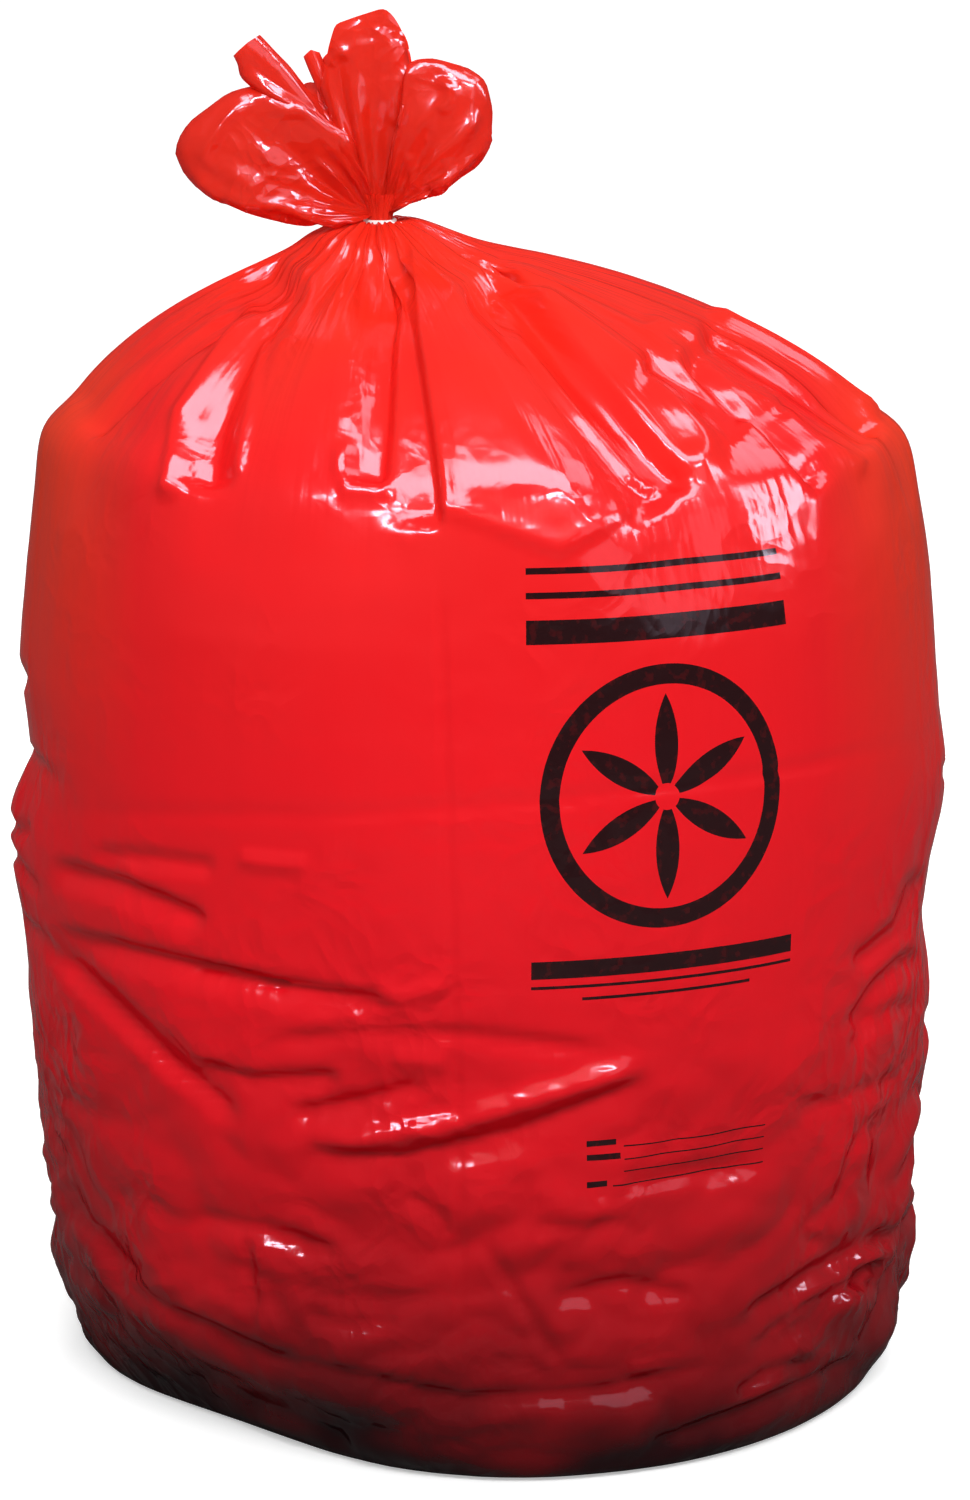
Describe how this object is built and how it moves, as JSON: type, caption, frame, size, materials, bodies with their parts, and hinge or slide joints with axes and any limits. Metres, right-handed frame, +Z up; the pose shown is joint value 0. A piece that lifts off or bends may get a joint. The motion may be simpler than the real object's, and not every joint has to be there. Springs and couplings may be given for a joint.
{
  "type": "tied waste bag of red film",
  "caption": "Round, filled waste bag of thin red film, gathered and tied at the neck with a twist tie, with its free end spread into lobes.",
  "frame": {"origin": "middle of the bag's base box, on the floor it stands on", "axes": "+Z up towards the tied neck, -Y towards the printed front, +X to the right as one faces the front"},
  "size_m": [0.507, 0.4814, 0.732],
  "materials": {
    "film": "glossy thin film, lightly crinkled",
    "tie": "satin white ribbon"
  },
  "bodies": {
    "root": {"bag": "film", "neck_tie": "tie"}
  },
  "joints": []
}
